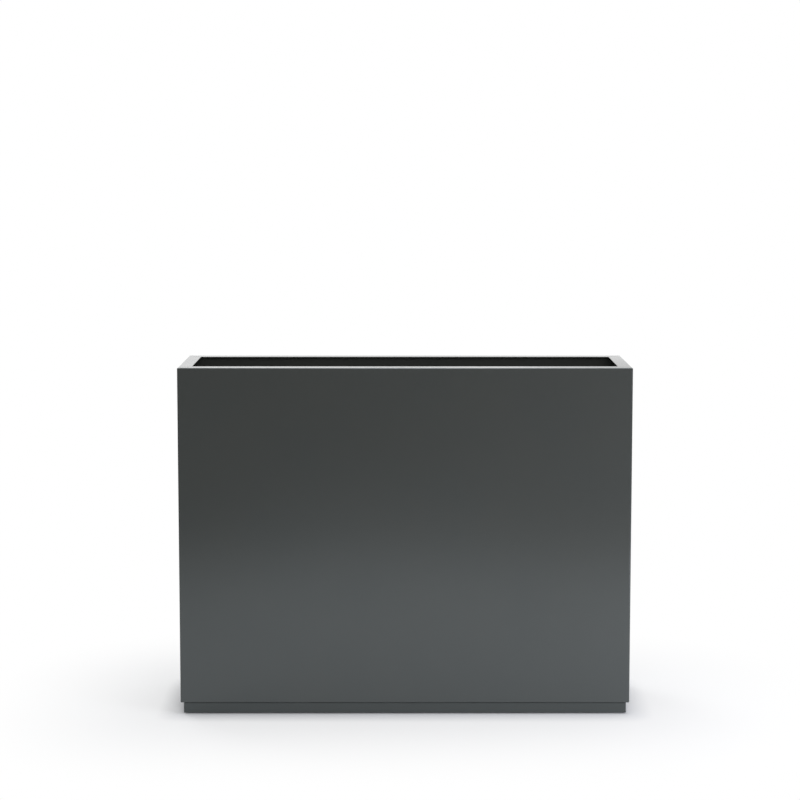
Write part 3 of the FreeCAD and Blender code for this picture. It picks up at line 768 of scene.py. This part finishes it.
class PLANTER_OT_fasten_tie_bars(bpy.types.Operator):
    """Make the screws and nuts that clamp the tie bars under the ledges"""

    bl_idname = "planter.fasten_tie_bars"
    bl_label = "Screw on the tie bars"

    def execute(self, context):
        sizes = context.scene.planter_sizes
        low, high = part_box("tie_bar_screws")
        ledge_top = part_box("back_shelf_ledge")[1].z
        places, flats = hexagon_plan("tie_bar_screws")
        values = {
            "Radius": sizes.screw_radius, "Pitch": sizes.screw_pitch,
            "Bottom": low.z, "Top": ledge_top + sizes.screw_pitch,
            "Ring Count": round(RINGS_PER_TURN * (ledge_top - low.z) / sizes.screw_pitch),
            "Flats": flats, "Hexagon Bottom": ledge_top, "Hexagon Top": high.z,
        }
        build_piece("hex_screws", "shell", "zinc_plate", fastener_tree(), places, values, "tie_bar_screws")
        fit_nuts("hex_nuts", "tie_bar_nuts", sizes.screw_radius)
        return {"FINISHED"}


class PLANTER_OT_edge_shelves(bpy.types.Operator):
    """Roll the edges of the shelf halves' drain holes and finger holes"""

    bl_idname = "planter.edge_shelves"
    bl_label = "Roll the shelf's hole edges"

    def execute(self, context):
        sizes = context.scene.planter_sizes
        sheet = 1.5 * MM
        tree = collar_tree()
        for side in SIDES:
            body = f"{side}_shelf"
            low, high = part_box(body)
            # The drain holes' edges stand at the underside, where the punch broke through
            places = self.drain_places(sizes, low, high, high.z - sheet)
            values = {"Radius": sizes.hole_radius, "Edge": sizes.finger_roll / 2}
            build_piece(f"{side}_drain_edges", body, "galvanised_steel", tree, places, values)
            ends = (low.x + sizes.finger_inset, high.x - sizes.finger_inset)
            places = [((end, 0, high.z - sheet / 2), UP) for end in ends]
            values = {"Radius": sizes.finger_radius, "Edge": sizes.finger_roll}
            build_piece(f"{side}_finger_edges", body, "galvanised_steel", tree, places, values)
        return {"FINISHED"}

    def drain_places(self, sizes, low, high, level):
        """Middles of the drain holes, in as many columns and rows as the margins leave room for."""
        middle = (low.x + high.x) / 2
        columns = int((high.x - low.x - 2 * sizes.hole_end_margin) / sizes.hole_pitch) + 1
        rows = int((high.y - low.y - 2 * sizes.hole_side_margin) / sizes.row_pitch) + 1
        return [((middle + sizes.hole_pitch * (column - (columns - 1) / 2),
                  sizes.row_pitch * (row - (rows - 1) / 2), level), UP)
                for column in range(columns) for row in range(rows)]


class PLANTER_OT_fit_feet(bpy.types.Operator):
    """Make the levelling feet: threaded studs with a collar, moulded pads, and the nuts for the studs"""

    bl_idname = "planter.fit_feet"
    bl_label = "Fit the levelling feet"

    def execute(self, context):
        sizes = context.scene.planter_sizes
        tree = fastener_tree()
        for corner in FEET:
            self.fit_stud(sizes, tree, corner)
            self.fit_pad(corner)
        fit_nuts("weld_nuts", "foot_nuts", sizes.stud_radius)
        return {"FINISHED"}

    def fit_stud(self, sizes, tree, corner):
        """A threaded stud with a hexagon collar that rests on the pad."""
        node, collar_height = f"foot_stud_{corner}", 2.5 * MM
        low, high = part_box(node)
        pad_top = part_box(f"foot_pad_{corner}")[1].z
        places = [(((low.x + high.x) / 2, (low.y + high.y) / 2, 0), UP)]
        values = {
            "Radius": sizes.stud_radius, "Pitch": sizes.stud_pitch, "Bottom": low.z, "Top": high.z,
            "Ring Count": round(RINGS_PER_TURN * (high.z - low.z) / sizes.stud_pitch),
            "Flats": across_flats(low, high),
            "Hexagon Bottom": pad_top, "Hexagon Top": pad_top + collar_height,
        }
        build_piece(f"threaded_stud_{corner}", f"foot_{corner}", "zinc_plate", tree, places, values, node)

    def fit_pad(self, corner):
        """A pad with a fluted skirt, a sloping top, and rings under its sole that grip the floor."""
        node, name = f"foot_pad_{corner}", f"moulded_pad_{corner}"
        sides, flutes, flute_share, skirt_share = 144, 24, 0.025, 0.9
        groove_depth = 0.6 * MM
        groove_start_shares = (0.3, 0.6)
        groove_shares = ((0, 0), (0.06, groove_depth), (0.1, groove_depth), (0.16, 0))
        skirt_shares = ((0.94, 0), (1, 0.1), (1, 0.5))
        top_shares = ((0.93, 0.68), (0.6, 0.86), (0.56, 1), (0, 1))
        low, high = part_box(node)
        radius, height = (high.x - low.x) / 2, high.z - low.z
        profile = [(0, low.z)]
        for start_share in groove_start_shares:
            profile += [(radius * (start_share + share), low.z + depth) for share, depth in groove_shares]
        profile += [(radius * out, low.z + height * up) for out, up in skirt_shares + top_shares]

        def flute(angle, reach):
            return 1 - flute_share * (1 - math.cos(flutes * angle)) / 2 * (reach > radius * skirt_share)

        mesh = keep_solid(lathe(profile, sides, flute), name, "black_nylon", (low + high) / 2)
        add_piece(name, mesh, f"foot_{corner}", "black_nylon", node)


class PLANTER_OT_fit_plugs(bpy.types.Operator):
    """Mould the rubber drain plugs, with sealing ribs below and a loop above"""

    bl_idname = "planter.fit_plugs"
    bl_label = "Fit the drain plugs"

    def execute(self, context):
        for side in SIDES:
            self.fit_plug(side)
        return {"FINISHED"}

    def fit_plug(self, side):
        """A plug turned from its tip, over its ribs and its flange, with a loop on top."""
        node, name, sides = f"{side}_drain_plug", f"ribbed_plug_{side}", 48
        length, neck, flange_height = 10 * MM, 10.6 * MM, 3 * MM
        tip_inset, tip_slope, tip_rise = 2.2 * MM, 1 * MM, 0.8 * MM
        ribs, rib_start, rib_height, rib_pitch, groove = 3, 2 * MM, 1.6 * MM, 2.72 * MM, 0.5 * MM
        rib_shares, rib_inset, rib_growth = (0.35, 0.7), 0.8 * MM, 0.25 * MM
        rim_bevel, rim_height, top_slope, top_fall, crown_share = 0.6 * MM, 1 * MM, 1 * MM, 0.3 * MM, 0.55
        low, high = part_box(node)
        radius = (high.x - low.x) / 2
        pan_floor = low.z + length
        flange_top = pan_floor + flange_height
        tip = neck - tip_inset
        profile = [(0, low.z), (tip, low.z), (tip + tip_slope, low.z + tip_rise)]
        for rib in range(ribs):
            start = low.z + rib_start + rib * rib_pitch
            out = neck - rib_inset + rib * rib_growth
            profile.append((out - groove, start))
            profile += [(out, start + rib_height * share) for share in rib_shares]
            profile.append((out - groove, start + rib_height))
        profile += [
            (neck - groove, pan_floor),
            (radius - rim_bevel, pan_floor),
            (radius, pan_floor + rim_bevel),
            (radius, pan_floor + rim_bevel + rim_height),
            (radius - top_slope, flange_top - top_fall),
            (radius * crown_share, flange_top),
            (0, flange_top),
        ]
        solid = lathe(profile, sides)
        self.add_loop(solid, high.z)
        mesh = keep_solid(solid, name, "black_rubber", (low + high) / 2)
        add_piece(name, mesh, node, "black_rubber", node)

    def add_loop(self, solid, top):
        """A ring of soft square section, whose foot is sunk in the flange."""
        ring_sides, section_sides = 40, 16
        outer, bar, width = 9 * MM, 4 * MM, 5 * MM
        middle = outer - bar / 2
        level = top - outer
        rings = []
        for step in range(ring_sides):
            angle = FULL_TURN * step / ring_sides
            ring = []
            for corner in range(section_sides):
                turn = FULL_TURN * corner / section_sides
                out = middle + bar / 2 * self.soft_square(math.cos(turn))
                across = width / 2 * self.soft_square(math.sin(turn))
                point = (out * math.cos(angle), across, level + out * math.sin(angle))
                ring.append(solid.verts.new(point))
            rings.append(ring)
        for ring, following in zip(rings, rings[1:] + rings[:1]):
            join_rings(solid, ring, following)

    def soft_square(self, share):
        """Push a circle's coordinate out towards a square with soft corners."""
        softness = 0.6
        return math.copysign(abs(share) ** softness, share)


class PLANTER_OT_set_stage(bpy.types.Operator):
    """Set the pale floor, the soft studio light and the camera"""

    bl_idname = "planter.set_stage"
    bl_label = "Set the stage"

    def execute(self, context):
        stage, colours = context.scene.planter_stage, context.scene.planter_colours
        self.lay_floor(colours)
        self.stand_flag(colours)
        self.light_world(stage)
        lamps = {name: self.hang_lamp(name, stage) for name in SOFTBOXES}
        lamps["front"].visible_glossy = False
        lamps["rear"].visible_glossy = False
        lamps["side"].data.color = colours.side_light
        self.place_camera(stage)
        context.scene.view_settings.view_transform = "Standard"
        return {"FINISHED"}

    def add_stage_piece(self, name, mesh_maker, material):
        """Show a finished mesh for the stage, which rides on no body of the planter."""
        mesh = bpy.data.meshes.new(name)
        mesh_maker.to_mesh(mesh)
        mesh_maker.free()
        mesh.materials.append(material)
        piece = show(name, mesh)
        return piece

    def add_seen_share(self, add):
        """One for rays that show a thing to the camera: straight, in a reflection or through glass."""
        path = add("ShaderNodeLightPath").outputs
        either = add(MATH, {
            0: path["Is Camera Ray"], 1: path["Is Glossy Ray"]}, operation="MAXIMUM")
        return add(MATH, {0: either, 1: path["Is Transmission Ray"]}, operation="MAXIMUM")

    def lay_floor(self, colours):
        """A white paper floor that keeps the planter's shadow near its foot."""
        floor_radius, segments = 9, 96
        mesh_maker = bmesh.new()
        bmesh.ops.create_circle(mesh_maker, cap_ends=True, segments=segments, radius=floor_radius)
        self.add_stage_piece("studio_floor", mesh_maker, self.floor_paper(colours))

    def floor_paper(self, colours):
        """Matt white paper: its light evens out to plain white away from the planter's foot."""
        contact_end, foot_white, mirrored_foot_white = 0.05, 0.55, 0.4
        shadow_end, mirrored_shadow_end = 0.45, 1.3
        material, add, place = new_material("white_studio_paper")
        parts = add("ShaderNodeSeparateXYZ", {0: place}).outputs
        beyond = []
        for part, half in zip(parts, CAD_BOX[1][:2]):
            away = add(MATH, {0: part}, operation="ABSOLUTE")
            past = add(MATH, {0: away, 1: half}, operation="SUBTRACT")
            beyond.append(add(MATH, {0: past, 1: 0}, operation="MAXIMUM"))
        from_foot = add("ShaderNodeCombineXYZ", {0: beyond[0], 1: beyond[1]})
        distance = add("ShaderNodeVectorMath", {0: from_foot}, operation="LENGTH").outputs["Value"]
        # In the planter's own reflections the shadow is darker at the foot's edge and reaches further
        mirrored = add("ShaderNodeLightPath").outputs["Is Glossy Ray"]
        at_foot = add(MAP_RANGE, {
            "Value": mirrored, "To Min": foot_white, "To Max": mirrored_foot_white})
        fade_end = add(MAP_RANGE, {
            "Value": mirrored, "To Min": shadow_end, "To Max": mirrored_shadow_end})
        clear = add(MAP_RANGE, {
            "Value": distance, "From Max": fade_end, "To Min": at_foot, "To Max": 1},
            interpolation_type="SMOOTHSTEP")
        contact = add(MAP_RANGE, {"Value": distance, "From Max": contact_end})
        shaded = add(MATH, {0: clear, 1: contact}, operation="MULTIPLY")
        evened = add(MATH, {0: shaded, 1: self.add_seen_share(add)}, operation="MULTIPLY")
        paper = add("ShaderNodeBsdfDiffuse", {"Color": opaque(colours.paper)})
        white = add("ShaderNodeEmission", {"Color": WHITE, "Strength": 1})
        surface = add("ShaderNodeMixShader", {0: evened, 1: paper, 2: white})
        add("ShaderNodeOutputMaterial", {"Surface": surface})
        return material

    def stand_flag(self, colours):
        """A ring of dark cards round the planter, tall before it, that only its reflections show."""
        segments, distance, front_height, back_height = 96, 1.0, 1.6, 0.55
        half_width, half_depth = CAD_BOX[1].x, CAD_BOX[1].y
        mesh_maker = bmesh.new()
        lower, upper = [], []
        for step in range(segments):
            angle = FULL_TURN * step / segments
            across = math.cos(angle) * distance + math.copysign(half_width, math.cos(angle))
            along = math.sin(angle) * distance + math.copysign(half_depth, math.sin(angle))
            front_share = (1 - math.sin(angle)) / 2
            height = back_height + (front_height - back_height) * front_share
            lower.append(mesh_maker.verts.new((across, along, 0)))
            upper.append(mesh_maker.verts.new((across, along, height)))
        join_rings(mesh_maker, lower, upper)
        flag = self.add_stage_piece("studio_flag", mesh_maker, self.flag_cloth(colours))
        for rays in ("camera", "diffuse", "transmission", "volume_scatter", "shadow"):
            setattr(flag, f"visible_{rays}", False)

    def flag_cloth(self, colours):
        """Dark cloth that thins out to nothing at its lower edge."""
        cloth_end = 0.28
        material, add, place = new_material("dark_flag_cloth")
        height = add("ShaderNodeSeparateXYZ", {0: place}).outputs["Z"]
        cover = add(MAP_RANGE, {
            "Value": height, "From Max": cloth_end}, interpolation_type="SMOOTHSTEP")
        clear = add("ShaderNodeBsdfTransparent")
        cloth = add("ShaderNodeEmission", {"Color": opaque(colours.flag), "Strength": 1})
        surface = add("ShaderNodeMixShader", {0: cover, 1: clear, 2: cloth})
        add("ShaderNodeOutputMaterial", {"Surface": surface})
        return material

    def light_world(self, stage):
        """A white world to the camera and in reflections, and an even soft light from all round."""
        world = bpy.data.worlds.new("white_studio")
        bpy.context.scene.world = world
        world.use_nodes = True
        world.node_tree.nodes.clear()
        add = partial(add_node, world.node_tree)
        light = add("ShaderNodeBackground", {"Color": WHITE, "Strength": stage.ambient})
        white = add("ShaderNodeBackground", {"Color": WHITE, "Strength": 1})
        surface = add("ShaderNodeMixShader", {0: self.add_seen_share(add), 1: light, 2: white})
        add("ShaderNodeOutputWorld", {"Surface": surface})

    def hang_lamp(self, name, stage):
        """A rectangular softbox that points at a place and stays out of the picture."""
        place, aim, size = SOFTBOXES[name]
        light = bpy.data.lights.new(f"{name}_softbox", "AREA")
        light.shape = "RECTANGLE"
        light.size, light.size_y = size
        light.energy = getattr(stage, f"{name}_power")
        lamp = show(f"{name}_softbox", light)
        lamp.location = place
        lamp.rotation_euler = (Vector(aim) - Vector(place)).to_track_quat("-Z", "Y").to_euler()
        lamp.visible_camera = False
        return lamp

    def place_camera(self, stage):
        """A camera at the photograph's viewing angle."""
        camera_data = bpy.data.cameras.new("photo_camera")
        camera_data.lens = stage.lens
        camera_data.shift_y = stage.camera_shift
        camera = show("photo_camera", camera_data)
        camera.location = stage.camera_place
        camera.rotation_euler = (math.pi / 2 - stage.camera_pitch, 0, 0)
        bpy.context.scene.camera = camera


PIECE_OPERATORS = (
    PLANTER_OT_finish_nodes,
    PLANTER_OT_weld_shell,
    PLANTER_OT_weld_spots,
    PLANTER_OT_fasten_tie_bars,
    PLANTER_OT_edge_shelves,
    PLANTER_OT_fit_feet,
    PLANTER_OT_fit_plugs,
    PLANTER_OT_set_stage,
)
GROUPS = {
    "planter_sizes": PlanterSizes,
    "planter_colours": PlanterColours,
    "planter_stage": PlanterStage,
}


class PLANTER_PT_panel(bpy.types.Panel):
    """Lists the planter's sizes, colours and steps in the sidebar"""

    bl_label = "Tall metal planter"
    bl_idname = "PLANTER_PT_panel"
    bl_space_type = "VIEW_3D"
    bl_region_type = "UI"
    bl_category = "Planter"

    def draw(self, context):
        for name, group in GROUPS.items():
            box = self.layout.box()
            for label in group.__annotations__:
                box.prop(getattr(context.scene, name), label)
        for step in PIECE_OPERATORS:
            self.layout.operator(step.bl_idname)


def register():
    for name, group in GROUPS.items():
        bpy.utils.register_class(group)
        setattr(bpy.types.Scene, name, bpy.props.PointerProperty(type=group))
    for step in PIECE_OPERATORS:
        bpy.utils.register_class(step)
    bpy.utils.register_class(PLANTER_PT_panel)


def unregister():
    bpy.utils.unregister_class(PLANTER_PT_panel)
    for step in reversed(PIECE_OPERATORS):
        bpy.utils.unregister_class(step)
    for name, group in GROUPS.items():
        delattr(bpy.types.Scene, name)
        bpy.utils.unregister_class(group)


def main():
    register()
    bpy.ops.planter.finish_nodes()
    bpy.ops.planter.weld_shell()
    bpy.ops.planter.weld_spots()
    bpy.ops.planter.fasten_tie_bars()
    bpy.ops.planter.edge_shelves()
    bpy.ops.planter.fit_feet()
    bpy.ops.planter.fit_plugs()
    bpy.ops.planter.set_stage()


if __name__ == "__main__":
    main()
